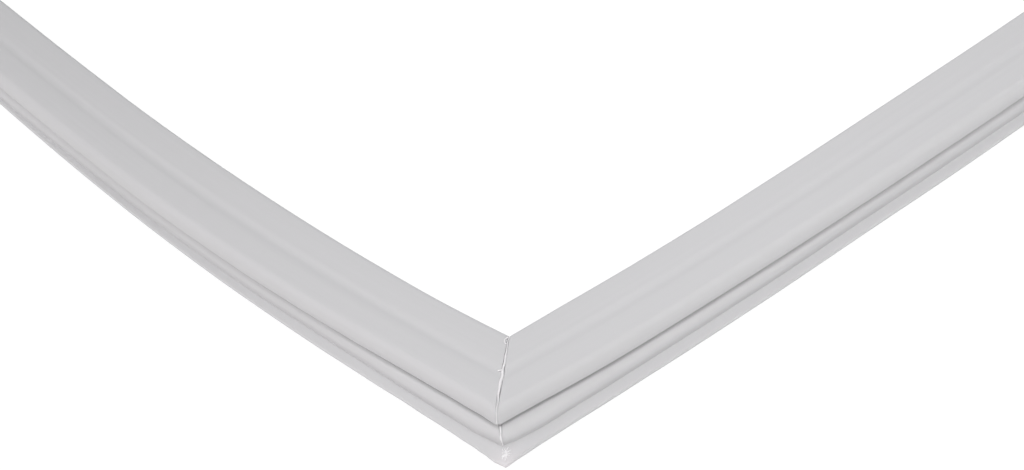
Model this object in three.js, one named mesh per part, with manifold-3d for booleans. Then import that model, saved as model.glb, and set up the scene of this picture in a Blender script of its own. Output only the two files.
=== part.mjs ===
// Door gasket of a refrigerator: one closed frame of hollow soft profile, mitred and welded at its
// four corners, with a flexible magnet strip inside each side. Millimetres, +Z up. The frame lies
// on its dart, which touches z = 0, with the sealing face up and the frame's middle on the Z axis.
import * as THREE from "three";
import { mergeVertices } from "three/addons/utils/BufferGeometryUtils.js";
import Module from "manifold-3d";

// Frame, along the centre line of the dart
const longHalf = 320; // from the middle of a long side to its corner, along X
const shortHalf = 280; // from the middle of a short side to its corner, along Y
const longBow = 11; // how far the middle of a long side stands out past its corners
const shortBow = 18;
const bowPower = 3; // keeps the bend near the corners
const spanLength = 54; // of one straight facet along a side, at most

// Profile heights
const baseThick = 1.2;
const bellowsHeight = 5; // from the base plate to the underside of the sealing part
const sealHeight = 4.4; // of the sealing part, which holds the magnet

// Profile widths, from the dart's centre line
const faceOut = 10; // outer edge of the sealing face
const faceIn = 13; // its inner edge
const beadOut = 10.7; // outer wall of the bellows
const bellowsIn = 4.4; // inner wall of the bellows, at its top and bottom
const bellowsBulge = 1; // of that inner wall, further inward
const baseIn = 9.5; // inner edge of the base plate

// Outer lip of the base plate, from the dart's centre line
const lipCorner = 14.6;
const lipLong = 13.9; // in the middle of a long side
const lipShort = 11.2; // in the middle of a short side, where the lip has drawn in
const weldDraw = 1.2; // how much further a weld draws the lip out at its corner

// Walls, roundings and the crease of the sealing face
const wall = 0.7;
const beadRound = 2.4; // shoulder of the bellows' outer wall
const grooveDepth = 0.7; // of the groove between that shoulder and the sealing part
const grooveHalf = 0.25; // half the height of the groove's mouth
const outerRoll = { across: 2.8, down: 2.9 }; // rounded outer edge of the sealing face
const innerRoll = { across: 1.6, down: 1.3 };
const innerNose = 1.8; // rounding under the inner edge
const underRound = 0.5; // rounding under the outer edge
const creaseIn = 1.35; // crease over the wall between the two chambers, inward from the dart
const creaseDepth = 0.25;
const creaseHalf = 2.6; // half the crease's width
const roundSteps = 2; // an arc gets twice as many facets

// Dart: barbs one above the other on a post
const barbCount = 2;
const tipHalf = 0.8;
const postHalf = 1;
const barbOut = 3.2;
const barbRise = 1.9; // from a barb's root up to its point
const barbBack = 0.45; // from its point up to the post
const barbSpace = 0.6; // from there to the next root
const neckLength = 1.5; // from the last barb's root space up to the base plate

// Magnet strips and breather holes
const clearance = 0.3; // between a magnet and its pocket
const magnetStop = 14; // from a corner to the end of a magnet
const ventRadius = 1;
const ventSides = 12;

const barbPitch = barbRise + barbBack + barbSpace;
const baseBottom = barbCount * barbPitch + neckLength;
const baseTop = baseBottom + baseThick;
const sealBottom = baseTop + bellowsHeight;
const sealTop = sealBottom + sealHeight;
const beadShoulder = beadOut - beadRound; // where the shoulder's rounding starts
const beadTop = sealBottom - 2 * grooveHalf;
const neckOut = beadShoulder - grooveDepth;
const pocketIn = creaseIn - wall / 2; // inner wall of the magnet pocket, inward from the dart
const chamberOut = creaseIn + wall / 2; // outer wall of the air chamber, inward from the dart
const quarter = Math.PI / 2;

const { Manifold, Mesh } = await startManifold();

async function startManifold() {
  const wasm = await Module();
  wasm.setup();
  return wasm;
}

// Points of a closed path, without the doubled ones where two of its parts meet.
function outlineOf(path) {
  const points = path.getPoints(roundSteps);
  return points.filter((p, i) => p.distanceTo(points[(i + 1) % points.length]) > 1e-6);
}

// Right half of the dart from its tip up to the base plate, as [across, up] pairs.
function dartHalf() {
  const points = [[tipHalf, 0]];
  for (let i = 0; i < barbCount; i++) {
    const root = i * barbPitch;
    if (i) points.push([postHalf, root]);
    points.push([barbOut, root + barbRise], [postHalf, root + barbRise + barbBack]);
  }
  return [...points, [postHalf, baseBottom]];
}

// Outer wall of the bellows or of its hollow, an inset deep inside it.
function beadArc(path, inset) {
  path.absarc(beadShoulder, beadTop - beadRound, beadRound - inset, 0, quarter);
}

function innerBellowsArc(path, inset) {
  path.absellipse(inset - bellowsIn, baseTop + bellowsHeight / 2,
    bellowsBulge, bellowsHeight / 2, quarter, 3 * quarter);
}

function outerRollArc(path, inset) {
  path.absellipse(faceOut - outerRoll.across, sealTop - outerRoll.down,
    outerRoll.across - inset, outerRoll.down - inset, 0, quarter);
}

function innerNoseArcs(path, inset) {
  path.absellipse(innerRoll.across - faceIn, sealTop - innerRoll.down,
    innerRoll.across - inset, innerRoll.down - inset, quarter, 2 * quarter);
  path.absarc(innerNose - faceIn, sealBottom + innerNose, innerNose - inset,
    2 * quarter, 3 * quarter);
}

// Outside of the profile, counterclockwise. Its outer lip reaches lipOut.
function profile(lipOut) {
  const lipRound = baseThick / 2;
  const baseMiddle = baseBottom + lipRound;
  const dart = dartHalf();
  const path = new THREE.Path();
  path.moveTo(...dart[0]);
  dart.slice(1).forEach((point) => path.lineTo(...point));
  path.absarc(lipOut - lipRound, baseMiddle, lipRound, -quarter, quarter);
  path.lineTo(beadOut, baseTop);
  beadArc(path, 0);
  path.lineTo(neckOut, sealBottom - grooveHalf);
  path.lineTo(beadShoulder, sealBottom);
  path.absarc(faceOut - underRound, sealBottom + underRound, underRound, -quarter, 0);
  outerRollArc(path, 0);
  path.lineTo(creaseHalf - creaseIn, sealTop);
  path.lineTo(-creaseIn, sealTop - creaseDepth);
  path.lineTo(-creaseHalf - creaseIn, sealTop);
  innerNoseArcs(path, 0);
  innerBellowsArc(path, 0);
  path.absarc(lipRound - baseIn, baseMiddle, lipRound, quarter, 3 * quarter);
  dart.reverse().forEach(([across, up]) => path.lineTo(-across, up));
  path.closePath();
  return outlineOf(path);
}

// Magnet pocket, in the outer part of the sealing face.
function pocket() {
  const path = new THREE.Path();
  path.moveTo(-pocketIn, sealBottom + wall);
  path.lineTo(faceOut - wall, sealBottom + wall);
  outerRollArc(path, wall);
  path.lineTo(-pocketIn, sealTop - wall);
  path.closePath();
  return outlineOf(path);
}

// Air chamber, in the inner part of the sealing face.
function airChamber() {
  const path = new THREE.Path();
  path.moveTo(-chamberOut, sealBottom + wall);
  path.lineTo(-chamberOut, sealTop - wall);
  innerNoseArcs(path, wall);
  path.closePath();
  return outlineOf(path);
}

// Hollow of the bellows, between the base plate and the sealing part.
function bellows() {
  const path = new THREE.Path();
  path.moveTo(wall - bellowsIn, baseTop);
  path.lineTo(beadOut - wall, baseTop);
  beadArc(path, wall);
  path.lineTo(neckOut - wall, beadTop - wall);
  path.lineTo(neckOut - wall, sealBottom);
  innerBellowsArc(path, wall);
  path.closePath();
  return outlineOf(path);
}

// Cross-section of a magnet strip, under the flat part of its pocket's ceiling.
function magnetOutline() {
  const inner = clearance - pocketIn;
  const outer = faceOut - outerRoll.across;
  const low = sealBottom + wall + clearance;
  const high = sealTop - wall - clearance;
  return [[inner, low], [outer, low], [outer, high], [inner, high]]
    .map(([across, up]) => new THREE.Vector2(across, up));
}

// The four sides, each turned a quarter turn from the one before it.
const sides = ["front", "right", "back", "left"].map((name, turn) => {
  const long = turn % 2 === 0;
  return {
    name,
    angle: turn * quarter,
    half: long ? longHalf : shortHalf,
    away: long ? shortHalf : longHalf,
    bow: long ? longBow : shortBow,
    lipMiddle: long ? lipLong : lipShort,
  };
});

// A place along a side: a point of the dart's line, the direction outward, and the lip's reach.
function placeOn(side, along) {
  const share = Math.abs(along / side.half);
  const away = side.away + side.bow * (1 - share ** bowPower);
  const slope = (side.bow * bowPower * share ** (bowPower - 1) * Math.sign(along)) / side.half;
  const middle = new THREE.Vector2();
  return {
    point: new THREE.Vector2(along, -away).rotateAround(middle, side.angle),
    out: new THREE.Vector2(slope, -1).normalize().rotateAround(middle, side.angle),
    lip: side.lipMiddle + (lipCorner - side.lipMiddle) * share,
  };
}

// Evenly spread places. At faceIn from its corners a section no longer crosses the mitre.
function placesAlong(side, stop) {
  const reach = side.half - stop;
  const spans = 2 * Math.ceil(reach / spanLength);
  return Array.from({ length: spans + 1 }, (_, i) => placeOn(side, ((2 * i) / spans - 1) * reach));
}

// The mitre where a side meets the next one: its section is stretched along the corner's bisector.
function mitreAfter(side, next) {
  const here = placeOn(side, side.half);
  const bisector = here.out.clone().add(placeOn(next, -next.half).out).normalize();
  const stretch = 1 / bisector.dot(here.out);
  return { point: here.point, out: bisector.multiplyScalar(stretch), lip: lipCorner + weldDraw };
}

const places = sides.flatMap((side, i) => [
  ...placesAlong(side, faceIn),
  mitreAfter(side, sides[(i + 1) % sides.length]),
]);

function sectionAt(place, outline) {
  return outline.map((p) => [
    place.point.x + place.out.x * p.x,
    place.point.y + place.out.y * p.x,
    p.y,
  ]);
}

function solidFrom(positions, triangles) {
  return new Manifold(new Mesh({
    numProp: 3,
    vertProperties: new Float32Array(positions),
    triVerts: new Uint32Array(triangles),
  }));
}

// Solid skinned over sections with equal numbers of points. A closed one runs back to its start.
function skin(sections, closed) {
  const count = sections[0].length;
  const triangles = [];
  const spans = closed ? sections.length : sections.length - 1;
  for (let i = 0; i < spans; i++) {
    const here = i * count;
    const ahead = ((i + 1) % sections.length) * count;
    for (let k = 0; k < count; k++) {
      const next = (k + 1) % count;
      triangles.push(here + k, ahead + k, ahead + next, here + k, ahead + next, here + next);
    }
  }
  if (!closed) {
    const last = (sections.length - 1) * count;
    for (let k = 1; k < count - 1; k++) {
      triangles.push(0, k, k + 1, last, last + k + 1, last + k);
    }
  }
  return solidFrom(sections.flat(2), triangles);
}

function ringOf(outline) {
  return skin(places.map((place) => sectionAt(place, outline)), true);
}

// Upright breather hole in the middle of a side.
function vent(side, across, low, high) {
  const place = placeOn(side, 0);
  const centre = place.point.clone().addScaledVector(place.out, across);
  const drill = new THREE.CylinderGeometry(ventRadius, ventRadius, high - low, ventSides)
    .rotateX(quarter)
    .translate(centre.x, centre.y, (high + low) / 2);
  drill.deleteAttribute("normal");
  drill.deleteAttribute("uv");
  const merged = mergeVertices(drill);
  return solidFrom(merged.attributes.position.array, merged.index.array);
}

function gasketSolid() {
  const outside = skin(places.map((place) => sectionAt(place, profile(place.lip))), true);
  const pocketMiddle = (faceOut - wall - pocketIn) / 2;
  const chamberMiddle = (innerNose - faceIn - bellowsIn) / 2;
  const overFloor = sealBottom + wall + clearance / 2;
  const vents = sides.flatMap((side) => [
    vent(side, pocketMiddle, baseBottom - wall, overFloor),
    vent(side, chamberMiddle, sealBottom - wall, overFloor),
  ]);
  const hollows = [pocket(), airChamber(), bellows()].map(ringOf);
  return Manifold.difference([outside, ...hollows, ...vents]);
}

function magnetSolid(side) {
  const outline = magnetOutline();
  return skin(placesAlong(side, magnetStop).map((place) => sectionAt(place, outline)), false);
}

function meshOf(name, solid, material) {
  const { vertProperties, triVerts } = solid.getMesh();
  const geometry = new THREE.BufferGeometry();
  geometry.setAttribute("position", new THREE.BufferAttribute(vertProperties, 3));
  geometry.setIndex(new THREE.BufferAttribute(triVerts, 1));
  const mesh = new THREE.Mesh(geometry, material);
  mesh.name = name;
  return mesh;
}

const softVinyl = new THREE.MeshStandardMaterial({ color: 0xd0d0d2, roughness: 0.6, metalness: 0 });
const ferriteRubber = new THREE.MeshStandardMaterial({
  color: 0x2c2826,
  roughness: 0.8,
  metalness: 0,
});

const group = new THREE.Group();
group.name = "refrigerator_door_gasket";
group.add(meshOf("door_gasket", gasketSolid(), softVinyl));
for (const side of sides) {
  group.add(meshOf(`magnet_strip_${side.name}`, magnetSolid(side), ferriteRubber));
}

export default group;
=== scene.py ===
import bpy
import math
import random
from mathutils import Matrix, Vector, kdtree, noise


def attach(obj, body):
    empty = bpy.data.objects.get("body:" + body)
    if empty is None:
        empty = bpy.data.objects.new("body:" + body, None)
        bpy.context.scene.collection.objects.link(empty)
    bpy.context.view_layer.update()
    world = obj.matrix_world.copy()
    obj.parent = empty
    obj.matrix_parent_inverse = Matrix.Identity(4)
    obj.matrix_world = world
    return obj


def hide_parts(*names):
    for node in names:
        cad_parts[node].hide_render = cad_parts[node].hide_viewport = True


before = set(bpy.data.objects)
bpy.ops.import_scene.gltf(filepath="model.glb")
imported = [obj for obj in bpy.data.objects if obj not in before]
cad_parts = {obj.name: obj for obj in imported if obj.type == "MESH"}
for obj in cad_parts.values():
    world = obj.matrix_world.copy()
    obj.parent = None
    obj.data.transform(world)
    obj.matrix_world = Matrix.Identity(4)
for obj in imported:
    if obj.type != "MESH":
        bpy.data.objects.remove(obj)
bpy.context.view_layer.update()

mm = 0.001
quarter = math.tau / 4
hair = 0.01                              # places this close count as one, in millimetres

# the bowed frame, along the centre line of the dart, in millimetres
run = {
    "longHalf": 320, "shortHalf": 280,   # middle of a side to its corner
    "longBow": 11, "shortBow": 18,       # how far a side's middle stands out
    "bowPower": 3,
    "lipCorner": 14.6, "lipLong": 13.9, "lipShort": 11.2,
    "fan": 60,                           # sections turn into the mitre over this length
    "seamDepth": 0.42,                   # of the furrow where two sides were welded
    "seamAbove": 0.05, "seamInside": 0.3,  # it starts this far over the base and inside the inner edge
    "firstStep": 0.55, "stepGrowth": 1.22, "longStep": 9,
    "waveHeight": 0.1, "waveLength": 110,
}

# how far the soft profile wanders outward, by the distance from its corner, both in millimetres
drift = {
    "long": {
        "inner": [(0, 0), (20, -0.05), (32, 0.1), (45, 0.28), (75, 0.35), (98, 0.1), (140, -0.15),
                  (190, 0), (300, 0)],
        "rim": [(0, -1.67), (4, -1.6), (8, -1.46), (12, -1.26), (16, -1.03), (24, -0.6), (34, -0.32),
                (60, -0.25), (90, -0.12), (130, 0.08), (170, 0.4), (220, 0.25), (300, 0)],
        "foot": [(0, 0), (4, 0.8), (10, 1.2), (20, 1), (45, 0.66), (75, 0.43), (110, 0.05), (150, 0.25),
                 (175, 0.4), (250, 0.2), (320, 0)],
        "lip": [(0, 1.83), (4, 1.5), (10, 1.13), (20, 0.84), (42, 0.5), (66, 0.25), (110, -0.15),
                (150, 0.12), (200, 0.1), (280, 0)],
    },
    "short": {
        "inner": [(0, 0), (15, 0.1), (31, 0.22), (60, 0.06), (101, 0), (170, 0.15), (212, 0), (270, -0.1)],
        "rim": [(0, 0.71), (7, 0.12), (18, -0.36), (30, -0.6), (38, -0.6), (50, -0.45), (72, -0.23),
                (90, 0.02), (140, 0.3), (190, 0), (270, 0)],
        "foot": [(0, 1.64), (8, 1.85), (16, 1.3), (26, 0.85), (38, 0.35), (50, 0), (66, -0.2), (83, -0.07),
                 (102, -0.1), (130, -0.17), (164, -0.3), (200, -0.25), (270, 0)],
        "lip": [(0, 2.32), (3, 2.5), (6.5, 1.92), (11, 1.4), (20, 0.66), (32, 0.03), (50, -0.3), (75, -0.4),
                (105, -0.3), (150, -0.17), (220, -0.1), (270, 0)],
    },
}

# the profile, across from the dart's centre line and up from its tip, in millimetres
form = {
    "faceOut": 10, "faceIn": 13, "beadOut": 10.7,
    "bellowsIn": 4.4, "bellowsBulge": 1, "baseIn": 9.5,
    "baseThick": 1.2, "bellowsHeight": 5, "sealHeight": 4.4,
    "beadRound": 2.4, "beadDrop": 3.05, "beadTuck": 0.3, "footFillet": 0.12,
    "grooveDepth": 1.2, "grooveHalf": 0.44,
    "outerAcross": 2.8, "outerDown": 3.9, "innerAcross": 1.6, "innerDown": 1.3,
    "innerNose": 1.8, "underRound": 0.25, "lipEase": 1.5,
    "creaseIn": 1.35, "creaseDepth": 0.33, "creaseHalf": 2.6,
    "tipHalf": 0.8, "postHalf": 1, "barbOut": 3.2,
    "barbRise": 1.9, "barbBack": 0.45, "barbSpace": 0.6, "barbCount": 2, "neck": 1.5,
    "roundSteps": 10, "smallSteps": 5,   # points on a big and on a small round
}
baseBottom = form["barbCount"] * (form["barbRise"] + form["barbBack"] + form["barbSpace"]) + form["neck"]
baseTop = baseBottom + form["baseThick"]
sealBottom = baseTop + form["bellowsHeight"]
sealTop = sealBottom + form["sealHeight"]


# a typed-in colour is sRGB, the shader wants linear
def colour(hexCode):
    parts = [int(hexCode[i:i + 2], 16) / 255 for i in (1, 3, 5)]
    linear = [c / 12.92 if c <= 0.04045 else ((c + 0.055) / 1.055) ** 2.4 for c in parts]
    return (*linear, 1)


# one node with its settings, its fixed inputs and the sockets that feed it
def addNode(tree, kind, settings=None, values=None, links=None):
    node = tree.nodes.new(kind)
    for key, value in (settings or {}).items():
        setattr(node, key, value)
    for key, value in (values or {}).items():
        node.inputs[key].default_value = value
    for key, socket in (links or {}).items():
        tree.links.new(socket, node.inputs[key])
    return node


def newMaterial(name):
    material = bpy.data.materials.new(name)
    material.use_nodes = True
    tree = material.node_tree
    tree.nodes.clear()
    return material, tree


def deselectAll():
    bpy.ops.object.select_all(action="DESELECT")


def editMode(selectKind="VERT"):
    bpy.ops.object.mode_set(mode="EDIT")
    bpy.ops.mesh.select_mode(type=selectKind)


def objectMode():
    bpy.ops.object.mode_set(mode="OBJECT")


def makeActive(piece):
    deselectAll()
    piece.select_set(True)
    bpy.context.view_layer.objects.active = piece


# the four sides, each a quarter turn on from the one before
sides = []
for number, name in enumerate(["front", "right", "back", "left"]):
    isLong = number % 2 == 0
    sides.append({
        "name": name,
        "angle": number * quarter,
        "half": run["longHalf"] if isLong else run["shortHalf"],
        "away": run["shortHalf"] if isLong else run["longHalf"],
        "bow": run["longBow"] if isLong else run["shortBow"],
        "lipMiddle": run["lipLong"] if isLong else run["lipShort"],
        "drift": drift["long" if isLong else "short"],
    })


def turned(x, y, angle):
    c, s = math.cos(angle), math.sin(angle)
    return Vector((c * x - s * y, s * x + c * y))


# a point of the dart's line and the direction outward
def placeOn(side, along):
    share = abs(along) / side["half"]
    away = side["away"] + side["bow"] * (1 - share ** run["bowPower"])
    slope = side["bow"] * run["bowPower"] * share ** (run["bowPower"] - 1) / side["half"]
    slope = math.copysign(slope, along)
    out = turned(slope, -1, side["angle"]).normalized()
    return turned(along, -away, side["angle"]), out


# value of a table of pairs, eased from one to the next
def fromTable(table, place):
    for (a, low), (b, high) in zip(table, table[1:]):
        if place <= b:
            share = max(0, (place - a) / (b - a))
            return low + (high - low) * share * share * (3 - 2 * share)
    return table[-1][1]


# 0 before the start, 1 after the end
def ramp(value, start, end):
    return min(1, max(0, (value - start) / (end - start)))


# points on a stretched arc, its angles in radians
def arc(centre, radii, start, end, steps):
    points = []
    for i in range(steps + 1):
        a = start + (end - start) * i / steps
        points.append((centre[0] + radii[0] * math.cos(a), centre[1] + radii[1] * math.sin(a)))
    return points


# outside of the profile, from the dart's tip round by the outer lip
def profileOutline():
    f = form
    big, small = f["roundSteps"], f["smallSteps"]
    lip = f["baseThick"] / 2
    middle = baseBottom + lip
    beadTop = sealBottom - 2 * f["grooveHalf"]
    shoulder = f["beadOut"] - f["beadRound"]
    fillet = f["footFillet"]
    halfDart = [(f["tipHalf"], 0)]
    for i in range(f["barbCount"]):
        root = i * (f["barbRise"] + f["barbBack"] + f["barbSpace"])
        if i:
            halfDart.append((f["postHalf"], root))
        halfDart.append((f["barbOut"], root + f["barbRise"]))
        halfDart.append((f["postHalf"], root + f["barbRise"] + f["barbBack"]))
    halfDart.append((f["postHalf"], baseBottom))
    points = list(halfDart)
    points += arc((run["lipCorner"] - lip, middle), (lip, lip), -quarter, quarter, 2 * small)
    foot = shoulder + f["beadRound"] * math.cos(f["beadTuck"])
    points += arc((foot + fillet, baseTop + fillet), (fillet, fillet), -quarter, -2 * quarter, small)
    points += arc((shoulder, beadTop - f["beadDrop"]), (f["beadRound"], f["beadDrop"]),
                  -f["beadTuck"], quarter, 2 * big)
    points.append((shoulder - f["grooveDepth"], sealBottom - f["grooveHalf"]))
    points.append((shoulder, sealBottom))
    points += arc((f["faceOut"] - f["underRound"], sealBottom + f["underRound"]),
                  (f["underRound"],) * 2, -quarter, 0, small)
    points += arc((f["faceOut"] - f["outerAcross"], sealTop - f["outerDown"]),
                  (f["outerAcross"], f["outerDown"]), 0, quarter, 2 * big)
    for i in range(big + 1):                       # soft crease over the wall between the chambers
        share = 1 - 2 * i / big
        dip = f["creaseDepth"] * (1 + math.cos(math.pi * share)) / 2
        points.append((share * f["creaseHalf"] - f["creaseIn"], sealTop - dip))
    points += arc((f["innerAcross"] - f["faceIn"], sealTop - f["innerDown"]),
                  (f["innerAcross"], f["innerDown"]), quarter, 2 * quarter, big)
    points += arc((f["innerNose"] - f["faceIn"], sealBottom + f["innerNose"]),
                  (f["innerNose"],) * 2, 2 * quarter, 3 * quarter, small)
    points += arc((-f["bellowsIn"], baseTop + f["bellowsHeight"] / 2),
                  (f["bellowsBulge"], f["bellowsHeight"] / 2), quarter, 3 * quarter, big)
    points += arc((lip - f["baseIn"], middle), (lip, lip), quarter, 3 * quarter, small)
    points += [(-across, up) for across, up in reversed(halfDart)]
    kept = []
    for p in points:
        if not kept or math.dist(p, kept[-1]) > hair:
            kept.append(p)
    return kept


outline = profileOutline()


# places of the sections along one side, close together at its corners
def sectionPlaces(half):
    gaps = []
    fromCorner, step = run["firstStep"], run["firstStep"]
    while fromCorner < half - run["longStep"] / 2:
        gaps.append(fromCorner)
        step = min(step * run["stepGrowth"], run["longStep"])
        fromCorner += step
    return [gap - half for gap in gaps] + [0] + [half - gap for gap in reversed(gaps)]


sections = []
for number, side in enumerate(sides):
    sections += [(number, along) for along in sectionPlaces(side["half"])]
    sections.append((number, None))                # the mitre itself
print("sections round the frame:", len(sections), "points in each:", len(outline))


# the lip draws in from the corner to the middle of its side
def lipReach(side, gap):
    share = 1 - gap / side["half"]
    return side["lipMiddle"] + (run["lipCorner"] - side["lipMiddle"]) * share


# how far out a point of the profile lies, at a distance from the side's corner
def reachOut(side, gap, across, up):
    f = form
    wander = {name: fromTable(table, gap) for name, table in side["drift"].items()}
    overFace = ramp(across, -f["faceIn"], f["faceOut"])
    face = wander["inner"] * (1 - overFace) + wander["rim"] * overFace
    if up > sealBottom - hair:
        return across + face
    if up > baseTop + hair:
        outer = ramp(across, f["beadOut"] - f["beadRound"] - f["grooveDepth"], f["beadOut"])
        return across + face * (1 - outer) + wander["foot"] * outer
    if across < f["postHalf"]:
        return across + (face if across < -f["barbOut"] else 0)
    onLip = ramp(across, f["beadOut"], f["beadOut"] + f["lipEase"])
    pulled = wander["foot"] * ramp(across, f["barbOut"], f["beadOut"]) * (1 - onLip)
    return across + pulled + onLip * (wander["lip"] + lipReach(side, gap) - run["lipCorner"])


# the point where both sides of a corner have their reach of this point of the profile
def onMitre(number, across, up):
    side, following = sides[number], sides[(number + 1) % 4]
    corner, outHere = placeOn(side, side["half"])
    outNext = placeOn(following, -following["half"])[1]
    here, ahead = reachOut(side, 0, across, up), reachOut(following, 0, across, up)
    shared = outHere.dot(outNext)
    scale = 1 - shared * shared
    alongHere = (here - shared * ahead) / scale
    alongNext = (ahead - shared * here) / scale
    return corner + outHere * alongHere + outNext * alongNext


# outward directions of the profile, as across and up
def outlineNormals():
    normals = []
    for i in range(len(outline)):
        (a, b), (c, d) = outline[i - 1], outline[(i + 1) % len(outline)]
        size = math.hypot(c - a, d - b)
        normals.append(((d - b) / size, (a - c) / size))
    return normals


normals = outlineNormals()
mitres = [[onMitre(number, *point) for point in outline] for number in range(4)]


# where a point of the profile lies in a section of the frame
def onFrame(section, mark):
    number, along = section
    side = sides[number]
    across, up = outline[mark]
    if along is None:
        spot = mitres[number][mark]
        if up > baseTop + run["seamAbove"] and across > run["seamInside"] - form["faceIn"]:
            bisector = (placeOn(side, side["half"])[0]).normalized()
            spot = spot - bisector * normals[mark][0] * run["seamDepth"]
            up -= normals[mark][1] * run["seamDepth"]
    else:
        end = math.copysign(1, along)
        gap = side["half"] - abs(along)
        corner, out = placeOn(side, end * side["half"])
        beyond = (mitres[number if end > 0 else number - 1][mark] - corner).dot(Vector((-out.y, out.x)))
        wanted = along + beyond * max(0, 1 - gap / run["fan"])
        clamped = min(side["half"], max(-side["half"], wanted))
        point, out = placeOn(side, clamped)
        spot = point + Vector((-out.y, out.x)) * (wanted - clamped) + out * reachOut(side, gap, across, up)
    if up > baseTop:                               # slow waves of the soft upper part only
        wave = noise.noise(Vector((spot.x, spot.y, 0)) / run["waveLength"])
        rise = min(1, (up - baseTop) / form["bellowsHeight"])
        up -= run["waveHeight"] * rise * (wave + 1) / 2
    return Vector((spot.x, spot.y, up)) * mm


# a point over the seam, moved along the seam's own side direction
def alongMitre(number, across, up, aside=0.0):
    spot = onMitre(number, across, up)
    outerEnd = onMitre(number, form["faceOut"], sealTop)
    seam = (outerEnd - onMitre(number, -form["faceIn"], sealTop)).normalized()
    spot = spot + Vector((-seam.y, seam.x)) * aside
    return Vector((spot.x, spot.y, up)) * mm


# streaks of the extrusion follow each side: U runs along it and V round the profile, in metres
def unwrapAlong(mesh, rings, marks):
    lengths = [0.0]
    for a, b in zip(outline, outline[1:]):
        lengths.append(lengths[-1] + math.dist(b, a))
    layer = mesh.uv_layers.new(name="alongProfile")
    total = len(sections)
    for face in mesh.polygons:
        faceRings = [rings[v] for v in face.vertices]
        faceMarks = [marks[v] for v in face.vertices]
        plain = [ring for ring in faceRings if sections[ring][1] is not None]
        number = sections[plain[0]][0]
        side = sides[number]
        wraps = max(faceMarks) - min(faceMarks) > 1
        for loop, ring, mark in zip(face.loop_indices, faceRings, faceMarks):
            along = sections[ring][1]
            if along is None:
                after = ring == (min(plain) - 1) % total or (ring == total - 1 and min(plain) == 0)
                along = -side["half"] if after else side["half"]
            around = lengths[-1] + 1 if wraps and mark == 0 else lengths[mark]
            layer.data[loop].uv = (along * mm + number, around * mm)


# how the gasket's mesh is made, in millimetres and degrees
meshing = {
    "hoop": 100, "merge": 0.002, "sharpAngle": 38,
    "meltReach": 3.2, "meltEase": 1,     # the weld made the lip paler this far from the corner
}


# share of melt on the lip beside each weld
def markMelt(mesh, rings, marks):
    share = mesh.attributes.new("meltNear", "FLOAT", "POINT")
    for vertex, ring, mark in zip(mesh.vertices, rings, marks):
        number, along = sections[ring]
        gap = 0 if along is None else sides[number]["half"] - abs(along)
        across, up = outline[mark]
        onLip = ramp(across, form["beadOut"], form["beadOut"] + meshing["meltEase"])
        share.data[vertex.index].value = math.exp(-(gap / meshing["meltReach"]) ** 2) * (
            onLip if up < baseTop + hair else 0)


# the gasket: one ring of profile, spun into a hoop and laid round the bowed frame
def makeGasket():
    hoop = meshing["hoop"] * mm
    deselectAll()
    bpy.ops.mesh.primitive_circle_add(vertices=len(outline), radius=hoop / 2, fill_type="NOTHING")
    gasket = bpy.context.active_object
    gasket.name = "gasket_profile"
    for vertex, (across, up) in zip(gasket.data.vertices, outline):
        vertex.co = (hoop + across * mm, 0, up * mm)
    editMode()
    bpy.ops.mesh.select_all(action="SELECT")
    bpy.ops.mesh.spin(steps=len(sections), angle=math.tau, center=(0, 0, 0), axis=(0, 0, 1))
    bpy.ops.mesh.select_all(action="SELECT")
    bpy.ops.mesh.remove_doubles(threshold=meshing["merge"] * mm)
    objectMode()

    # each point of the hoop knows its section by its angle and its mark by its place in the profile
    finder = kdtree.KDTree(len(outline))
    for i, (across, up) in enumerate(outline):
        finder.insert((across, up, 0), i)
    finder.balance()
    mesh = gasket.data
    rings, marks = [], []
    for vertex in mesh.vertices:
        x, y, z = vertex.co
        rings.append(round(math.atan2(y, x) / math.tau * len(sections)) % len(sections))
        marks.append(finder.find(((math.hypot(x, y) - hoop) / mm, z / mm, 0))[1])
    for vertex, ring, mark in zip(mesh.vertices, rings, marks):
        vertex.co = onFrame(sections[ring], mark)
    unwrapAlong(mesh, rings, marks)
    markMelt(mesh, rings, marks)

    makeActive(gasket)
    editMode()
    bpy.ops.mesh.select_all(action="SELECT")
    bpy.ops.mesh.normals_make_consistent(inside=False)
    objectMode()
    bpy.ops.object.shade_smooth_by_angle(angle=math.radians(meshing["sharpAngle"]))
    return gasket


# holes that let air in and out, in millimetres
breather = {"radius": 1, "sides": 20, "below": 0.4, "baseRise": 4, "chamberRise": 2.5}


# two breather holes in the middle of each side, cut from below
def cutBreathers(gasket):
    cutters = []
    pocketMiddle = (form["faceOut"] - form["creaseIn"]) / 2
    chamberMiddle = (form["innerNose"] - form["faceIn"] - form["bellowsIn"]) / 2
    for side in sides:
        point, out = placeOn(side, 0)
        for across, bottom, rise in ((pocketMiddle, baseBottom, breather["baseRise"]),
                                     (chamberMiddle, sealBottom, breather["chamberRise"])):
            spot = point + out * across
            deselectAll()
            low, high = bottom - breather["below"], bottom + rise
            bpy.ops.mesh.primitive_cylinder_add(
                vertices=breather["sides"], radius=breather["radius"] * mm, depth=(high - low) * mm,
                location=(spot.x * mm, spot.y * mm, (high + low) / 2 * mm))
            cutters.append(bpy.context.active_object)
    deselectAll()
    for cutter in cutters:
        cutter.select_set(True)
    bpy.context.view_layer.objects.active = cutters[0]
    bpy.ops.object.join()
    cutter = bpy.context.active_object
    makeActive(gasket)
    bpy.ops.object.modifier_add(type="BOOLEAN")
    cut = gasket.modifiers[-1]
    cut.operation = "DIFFERENCE"
    cut.solver = "EXACT"
    cut.object = cutter
    bpy.ops.object.modifier_apply(modifier=cut.name)
    bpy.data.objects.remove(cutter)


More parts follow.
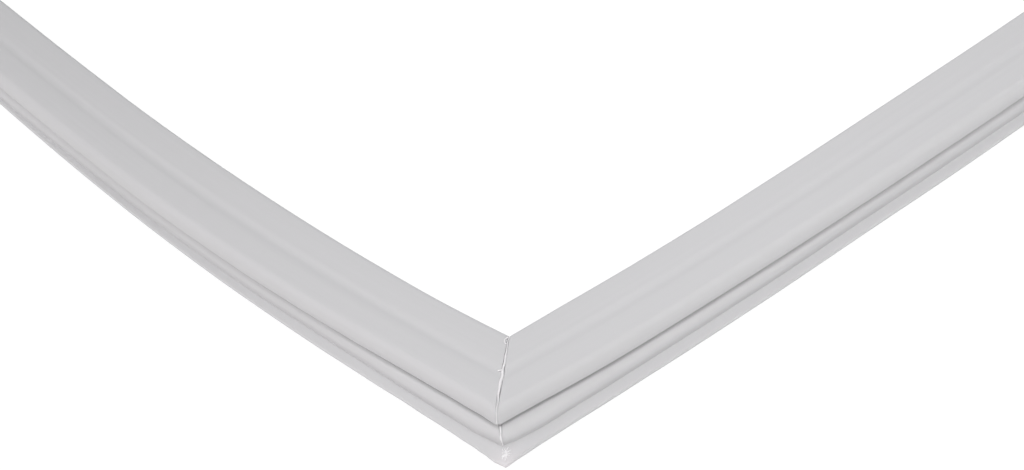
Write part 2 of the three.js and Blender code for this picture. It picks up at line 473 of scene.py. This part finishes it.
# a string of melt: a closed tube along its points, with a half width and a half height at each
def meltString(points, widths, heights, upward, ringSides=8):
    last = len(points) - 1
    deselectAll()
    bpy.ops.mesh.primitive_cylinder_add(vertices=ringSides, radius=1, depth=last)
    string = bpy.context.active_object
    mesh = string.data
    editMode("EDGE")
    bpy.ops.mesh.select_all(action="DESELECT")
    objectMode()
    for edge in mesh.edges:
        a, b = (mesh.vertices[v].co.z for v in edge.vertices)
        edge.select = abs(a - b) > last / 2
    editMode("EDGE")
    bpy.ops.mesh.subdivide(number_cuts=last - 1)
    objectMode()
    for vertex in mesh.vertices:
        ring = round(vertex.co.z + last / 2)
        ahead = points[min(last, ring + 1)] - points[max(0, ring - 1)]
        across = ahead.cross(upward[ring]).normalized()
        raised = across.cross(ahead).normalized()
        angle = math.atan2(vertex.co.y, vertex.co.x)
        vertex.co = (points[ring] + across * widths[ring] * math.cos(angle)
                     + raised * heights[ring] * math.sin(angle))
    makeActive(string)
    editMode()
    bpy.ops.mesh.select_all(action="SELECT")
    bpy.ops.mesh.normals_make_consistent(inside=False)
    objectMode()
    bpy.ops.object.shade_smooth()
    return string


# flash of the heat weld, in millimetres; shares run from the inner edge of the face to its outer tip
flash = {
    "step": 0.35, "height": 0.3,
    "wobble": 0.2, "wobbleRate": 9,      # how far the ridge strays, and how often
    "roughness": 0.3, "roughRate": 40,
    "widths": [(0, 0.11), (0.06, 0.16), (0.12, 0.13), (0.18, 0.15), (0.26, 0.26), (0.4, 0.24),
               (0.47, 0.34), (0.55, 0.4), (0.66, 0.3), (0.74, 0.24), (0.8, 0.07), (1, 0.06)],
    "beadWidth": 0.18, "beadWave": 0.3, "beadSway": 0.1, "beadFlat": 0.6,
    "curlFrom": 2, "curlAcross": 0.95, "curlAside": 0.9, "curlLift": 0.05, "curlPoints": 15,
    "fleckAt": (-2.6, -0.2), "fleckRun": (0.35, -1.15), "fleckPoints": 6,
    "threadWidth": 0.17, "threadHeight": 0.2,   # halves, of the curl and the fleck
    "strands": 11, "starMiddle": 12.6, "starAside": 0.8, "starLift": 0.03,
    "strandPoints": 8, "strandLength": (0.9, 2), "strandWidth": (0.12, 0.22),
}
straightUp = Vector((0, 0, 1))


# points every step along a chain of profile points, with the surface's outward normal in the mitre
def walkProfile(number, chain, step, aside):
    spots, upward, shares = [], [], []
    lengths = [0.0]
    for a, b in zip(chain, chain[1:]):
        lengths.append(lengths[-1] + math.dist(a, b))
    count = max(4, int(lengths[-1] / step))
    bisector = placeOn(sides[number], sides[number]["half"])[0].normalized()
    for i in range(count + 1):
        reach = lengths[-1] * i / count
        k = next((j for j in range(1, len(lengths)) if lengths[j] >= reach - 1e-9), len(lengths) - 1)
        part = (reach - lengths[k - 1]) / max(1e-9, lengths[k] - lengths[k - 1])
        across = chain[k - 1][0] + (chain[k][0] - chain[k - 1][0]) * part
        up = chain[k - 1][1] + (chain[k][1] - chain[k - 1][1]) * part
        dx, dz = chain[k][0] - chain[k - 1][0], chain[k][1] - chain[k - 1][1]
        size = math.hypot(dx, dz)
        upward.append(Vector((bisector.x * -dz / size, bisector.y * -dz / size, dx / size)))
        spots.append(alongMitre(number, across, up, aside(i / count)))
        shares.append(i / count)
    return spots, upward, shares


# an even thread of melt that lies on the face
def thread(points):
    count = len(points)
    return meltString(points, [flash["threadWidth"] * mm] * count, [flash["threadHeight"] * mm] * count,
                      [straightUp] * count)


def makeFlash(number):
    dice = random.Random(11 + number)
    seed = dice.uniform(0, 50)

    # the ridge over the face
    def wander(share):
        return flash["wobble"] * 2 * noise.noise(Vector((share * flash["wobbleRate"], seed, 0)))

    face = [p for p in reversed(outline)
            if p[1] > sealTop - (form["outerDown"] if p[0] > 0 else form["innerDown"]) - hair]
    spots, upward, shares = walkProfile(number, face, flash["step"], wander)
    widths, heights = [], []
    for share in shares:
        rough = 1 + flash["roughness"] * noise.noise(Vector((share * flash["roughRate"], seed, 3)))
        width = fromTable(flash["widths"], share) * rough
        widths.append(width * mm)
        heights.append(min(width, flash["height"] * (0.6 + rough / 2)) * mm)
    strings = [meltString(spots, widths, heights, upward)]

    # down over the bellows' round wall
    bead = [p for p in reversed(outline) if baseTop + 0.2 < p[1] < sealBottom - 0.4
            and p[0] > form["beadOut"] - form["beadRound"]]
    spots, upward, shares = walkProfile(number, bead, flash["step"],
                                        lambda share: flash["beadSway"] * math.sin(9 * share))
    widths = [flash["beadWidth"] * mm * (1 + flash["beadWave"] * math.sin(14 * share)) for share in shares]
    strings.append(meltString(spots, widths, [w * flash["beadFlat"] for w in widths], upward))

    # a small curl at the inner edge and a stray fleck beside the middle
    curlMiddle = flash["curlFrom"] - form["faceIn"]
    strings.append(thread([
        alongMitre(number, curlMiddle - flash["curlAcross"] * math.cos(0.2 * i),
                   sealTop + flash["curlLift"], -flash["curlAside"] * math.sin(0.2 * i))
        for i in range(flash["curlPoints"])]))
    (across, aside), (acrossRun, asideRun) = flash["fleckAt"], flash["fleckRun"]
    last = flash["fleckPoints"] - 1
    strings.append(thread([
        alongMitre(number, across + acrossRun * i / last, sealTop, aside + asideRun * i / last)
        for i in range(last + 1)]))

    # pale strands smeared star-like over the drawn-out tip of the lip
    last = flash["strandPoints"] - 1
    for i in range(flash["strands"]):
        angle = math.tau * i / flash["strands"] + dice.uniform(-0.25, 0.25)
        long = dice.uniform(*flash["strandLength"])
        strand = []
        for j in range(last + 1):
            far = 0.15 + long * j / last
            strand.append(alongMitre(
                number, flash["starMiddle"] + far * math.cos(angle), baseTop + flash["starLift"],
                flash["starAside"] + far * math.sin(angle) * 0.8 + 0.1 * math.sin(j)))
        wide = dice.uniform(*flash["strandWidth"])
        sizes = [wide * (1 - 0.06 * j) * mm for j in range(last + 1)]
        strings.append(meltString(strand, sizes, sizes, [straightUp] * len(strand)))

    deselectAll()
    for string in strings:
        string.select_set(True)
    bpy.context.view_layer.objects.active = strings[0]
    bpy.ops.object.join()
    piece = bpy.context.active_object
    piece.name = "weld_flash_" + str(number + 1)
    bpy.ops.object.transform_apply(location=True, rotation=True, scale=True)
    return piece


# soft PVC, extruded: matte and even, with faint lines along the profile and a fine skin grain
vinyl = {
    "plain": "#D0D0D1", "dark": "#CACACB", "light": "#D5D5D6", "melt": "#E2DEE0", "dust": "#B9B9BC",
    "streakWidth": 1.4, "streakLength": 130, "grain": 0.35, "mottle": 60,   # in millimetres
    "dustSize": 0.5, "dustPerMetre": 90, "dustShare": 0.05,   # rare specks, one cell in twenty
    "meltShare": 0.8, "rough": (0.48, 0.62),
    "lineBump": 0.25, "lineDepth": 0.05, "skinBump": 0.3, "skinDepth": 0.02,
}


def makeVinyl():
    material, tree = newMaterial("soft grey PVC")
    along = addNode(tree, "ShaderNodeUVMap", {"uv_map": "alongProfile"})
    stretch = addNode(tree, "ShaderNodeMapping", values={
        "Scale": (1000 / vinyl["streakLength"], 1000 / vinyl["streakWidth"], 1)},
        links={"Vector": along.outputs["UV"]})
    streaks = addNode(tree, "ShaderNodeTexNoise", values={"Scale": 1, "Detail": 3, "Roughness": 0.6},
                      links={"Vector": stretch.outputs["Vector"]})
    place = addNode(tree, "ShaderNodeTexCoord")
    mottle = addNode(tree, "ShaderNodeTexNoise", values={"Scale": 1000 / vinyl["mottle"], "Detail": 2},
                     links={"Vector": place.outputs["Object"]})
    grain = addNode(tree, "ShaderNodeTexNoise", values={"Scale": 1000 / vinyl["grain"], "Detail": 2},
                    links={"Vector": place.outputs["Object"]})
    shade = addNode(tree, "ShaderNodeMix", {"data_type": "RGBA"}, {6: colour(vinyl["dark"]),
                    7: colour(vinyl["light"])}, {0: streaks.outputs["Fac"]})
    cloud = addNode(tree, "ShaderNodeMix", {"data_type": "RGBA"}, {7: colour(vinyl["plain"])},
                    {0: mottle.outputs["Fac"], 6: shade.outputs[2]})
    specks = addNode(tree, "ShaderNodeTexVoronoi", values={"Scale": vinyl["dustPerMetre"]},
                     links={"Vector": place.outputs["Object"]})
    small = addNode(tree, "ShaderNodeMath", {"operation": "LESS_THAN"},
                    {1: vinyl["dustSize"] * mm * vinyl["dustPerMetre"] / 2},
                    {0: specks.outputs["Distance"]})
    chance = addNode(tree, "ShaderNodeSeparateColor", links={"Color": specks.outputs["Color"]})
    rare = addNode(tree, "ShaderNodeMath", {"operation": "LESS_THAN"}, {1: vinyl["dustShare"]},
                   {0: chance.outputs["Red"]})
    dust = addNode(tree, "ShaderNodeMath", {"operation": "MULTIPLY"},
                   links={0: small.outputs[0], 1: rare.outputs[0]})
    dusty = addNode(tree, "ShaderNodeMix", {"data_type": "RGBA"}, {7: colour(vinyl["dust"])},
                    {0: dust.outputs[0], 6: cloud.outputs[2]})
    near = addNode(tree, "ShaderNodeAttribute", {"attribute_name": "meltNear"})
    nearShare = addNode(tree, "ShaderNodeMath", {"operation": "MULTIPLY"},
                        {1: vinyl["meltShare"]}, {0: near.outputs["Fac"]})
    melted = addNode(tree, "ShaderNodeMix", {"data_type": "RGBA"}, {7: colour(vinyl["melt"])},
                     {0: nearShare.outputs[0], 6: dusty.outputs[2]})
    rough = addNode(tree, "ShaderNodeMapRange",
                    values={"To Min": vinyl["rough"][0], "To Max": vinyl["rough"][1]},
                    links={"Value": streaks.outputs["Fac"]})
    lines = addNode(tree, "ShaderNodeBump",
                    values={"Strength": vinyl["lineBump"], "Distance": vinyl["lineDepth"] * mm},
                    links={"Height": streaks.outputs["Fac"]})
    skin = addNode(tree, "ShaderNodeBump",
                   values={"Strength": vinyl["skinBump"], "Distance": vinyl["skinDepth"] * mm},
                   links={"Height": grain.outputs["Fac"], "Normal": lines.outputs["Normal"]})
    shader = addNode(tree, "ShaderNodeBsdfPrincipled", values={"IOR": 1.53, "Specular IOR Level": 0.35},
                     links={"Base Color": melted.outputs[2], "Roughness": rough.outputs[0],
                            "Normal": skin.outputs["Normal"]})
    addNode(tree, "ShaderNodeOutputMaterial", links={"Surface": shader.outputs[0]})
    return material


# PVC squeezed out of the weld: paler, because it foamed and stretched as it cooled
meltLook = {"pale": "#FAF9FA", "dull": "#EAE9EA", "blotch": 1.2, "bump": 0.4, "depth": 0.05}


def makeMelt():
    material, tree = newMaterial("melted PVC flash")
    place = addNode(tree, "ShaderNodeTexCoord")
    blotch = addNode(tree, "ShaderNodeTexNoise",
                     values={"Scale": 1000 / meltLook["blotch"], "Detail": 3},
                     links={"Vector": place.outputs["Object"]})
    shade = addNode(tree, "ShaderNodeMix", {"data_type": "RGBA"}, {6: colour(meltLook["dull"]),
                    7: colour(meltLook["pale"])}, {0: blotch.outputs["Fac"]})
    bump = addNode(tree, "ShaderNodeBump",
                   values={"Strength": meltLook["bump"], "Distance": meltLook["depth"] * mm},
                   links={"Height": blotch.outputs["Fac"]})
    shader = addNode(tree, "ShaderNodeBsdfPrincipled", values={"IOR": 1.53, "Roughness": 0.45},
                     links={"Base Color": shade.outputs[2], "Normal": bump.outputs["Normal"]})
    addNode(tree, "ShaderNodeOutputMaterial", links={"Surface": shader.outputs[0]})
    return material


# ferrite powder in rubber, calendered: near black, dusty brown, with a grain of powder
ferrite = {"dark": "#1E1B1A", "brown": "#38302B", "powder": 0.25, "bump": 0.3, "depth": 0.03}


def makeFerrite():
    material, tree = newMaterial("ferrite-filled magnet rubber")
    place = addNode(tree, "ShaderNodeTexCoord")
    powder = addNode(tree, "ShaderNodeTexNoise",
                     values={"Scale": 1000 / ferrite["powder"], "Detail": 4},
                     links={"Vector": place.outputs["Object"]})
    shade = addNode(tree, "ShaderNodeMix", {"data_type": "RGBA"}, {6: colour(ferrite["dark"]),
                    7: colour(ferrite["brown"])}, {0: powder.outputs["Fac"]})
    bump = addNode(tree, "ShaderNodeBump",
                   values={"Strength": ferrite["bump"], "Distance": ferrite["depth"] * mm},
                   links={"Height": powder.outputs["Fac"]})
    shader = addNode(tree, "ShaderNodeBsdfPrincipled", values={"Roughness": 0.75},
                     links={"Base Color": shade.outputs[2], "Normal": bump.outputs["Normal"]})
    addNode(tree, "ShaderNodeOutputMaterial", links={"Surface": shader.outputs[0]})
    return material


# camera at the photograph's angle
cameraSettings = {
    "location": (-0.50547, -0.58732, 0.38276),
    "turn": (48.037, 7.989, -39.565),
    "lens": 70.713,
    "nearest": 0.01,
}


def addCamera():
    data = bpy.data.cameras.new("camera")
    data.lens = cameraSettings["lens"]
    data.clip_start = cameraSettings["nearest"]
    camera = bpy.data.objects.new("camera", data)
    camera.location = cameraSettings["location"]
    camera.rotation_euler = [math.radians(a) for a in cameraSettings["turn"]]
    bpy.context.collection.objects.link(camera)
    bpy.context.scene.camera = camera


# soft lamps: place, aim and size in metres, spread in degrees, watts and colour
lamps = {
    "left": {"at": (-1.3, -0.35, 0.55), "aim": (-0.25, -0.2, 0.01), "size": 0.9, "spread": 180,
             "watts": 3.43, "tint": "#FFF8F7"},
    "backLeft": {"at": (-0.9, 0.4, 0.9), "aim": (-0.25, -0.2, 0.01), "size": 0.8, "spread": 180,
                 "watts": 2.39, "tint": "#FBFCFF"},
    "front": {"at": (-0.05, -1.15, 0.6), "aim": (-0.2, -0.25, 0.01), "size": 0.8, "spread": 180,
              "watts": 2.9, "tint": "#FFFDFD"},
    "overhead": {"at": (-0.21, -0.35, 1), "aim": (-0.21, -0.35, 0), "size": 0.3, "spread": 50,
                 "watts": 0.195, "tint": "#FDFDFF"},
}
surround = {
    "light": 0.446, "tint": "#FEFEFF",
    "floorColour": "#F2F2F2", "floorSize": 12, "floorDrop": 0.0002,
    "floorShadow": 0.12, "floorGlow": 1.1,   # the glow makes up for the matte share, to just white
}


def addLamps():
    for name, lamp in lamps.items():
        data = bpy.data.lights.new(name, "AREA")
        data.shape = "DISK"
        data.size = lamp["size"]
        data.energy = lamp["watts"]
        data.spread = math.radians(lamp["spread"])
        data.color = colour(lamp["tint"])[:3]
        box = bpy.data.objects.new(name, data)
        box.location = lamp["at"]
        aim = Vector(lamp["aim"]) - Vector(lamp["at"])
        box.rotation_euler = aim.to_track_quat("-Z", "Y").to_euler()
        bpy.context.collection.objects.link(box)


# 1 for a ray that shows the surround, straight or in a gloss or glass, and 0 for one that lights
def showingRays(tree):
    rays = addNode(tree, "ShaderNodeLightPath")
    straight = addNode(tree, "ShaderNodeMath", {"operation": "MAXIMUM"},
                       links={0: rays.outputs["Is Camera Ray"], 1: rays.outputs["Is Transmission Ray"]})
    showing = addNode(tree, "ShaderNodeMath", {"operation": "MAXIMUM"},
                      links={0: straight.outputs[0], 1: rays.outputs["Is Glossy Ray"]})
    return showing.outputs[0]


# shown, the surround is plain white; for light it is a softer even grey
def addWorld():
    world = bpy.data.worlds.new("studio")
    bpy.context.scene.world = world
    world.use_nodes = True
    tree = world.node_tree
    tree.nodes.clear()
    dim = addNode(tree, "ShaderNodeBackground",
                  values={"Color": colour(surround["tint"]), "Strength": surround["light"]})
    white = addNode(tree, "ShaderNodeBackground", values={"Color": (1, 1, 1, 1), "Strength": 1})
    mix = addNode(tree, "ShaderNodeMixShader",
                  links={0: showingRays(tree), 1: dim.outputs[0], 2: white.outputs[0]})
    addNode(tree, "ShaderNodeOutputWorld", links={"Surface": mix.outputs[0]})


# a pale table that shows white to the camera, with the shadow too faint to see, as in the photo
def addFloor():
    deselectAll()
    bpy.ops.mesh.primitive_plane_add(size=surround["floorSize"], location=(0, 0, -surround["floorDrop"]))
    floor = bpy.context.active_object
    floor.name = "table"
    material, tree = newMaterial("white table")
    share = addNode(tree, "ShaderNodeMath", {"operation": "MULTIPLY"}, {1: 1 - surround["floorShadow"]},
                    {0: showingRays(tree)})
    matte = addNode(tree, "ShaderNodeBsdfDiffuse", values={"Color": colour(surround["floorColour"])})
    glow = addNode(tree, "ShaderNodeEmission", values={
        "Color": (1, 1, 1, 1), "Strength": surround["floorGlow"]})
    mix = addNode(tree, "ShaderNodeMixShader",
                  links={0: share.outputs[0], 1: matte.outputs[0], 2: glow.outputs[0]})
    addNode(tree, "ShaderNodeOutputMaterial", links={"Surface": mix.outputs[0]})
    floor.data.materials.append(material)


addCamera()
addLamps()
addWorld()
addFloor()
print("camera, lamps and table are set")

gasket = makeGasket()
cutBreathers(gasket)
gasket.data.materials.clear()
gasket.data.materials.append(makeVinyl())
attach(gasket, "root")
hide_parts("door_gasket")
print("gasket:", len(gasket.data.polygons), "faces")

melt = makeMelt()
for number in range(4):
    piece = makeFlash(number)
    piece.data.materials.clear()
    piece.data.materials.append(melt)
    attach(piece, "root")
print("weld flash is made at the four corners")

rubber = makeFerrite()
for side in sides:
    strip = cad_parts["magnet_strip_" + side["name"]]
    strip.data.materials.clear()
    strip.data.materials.append(rubber)
print("magnet strips have their rubber")

bpy.context.scene.view_settings.view_transform = "Standard"
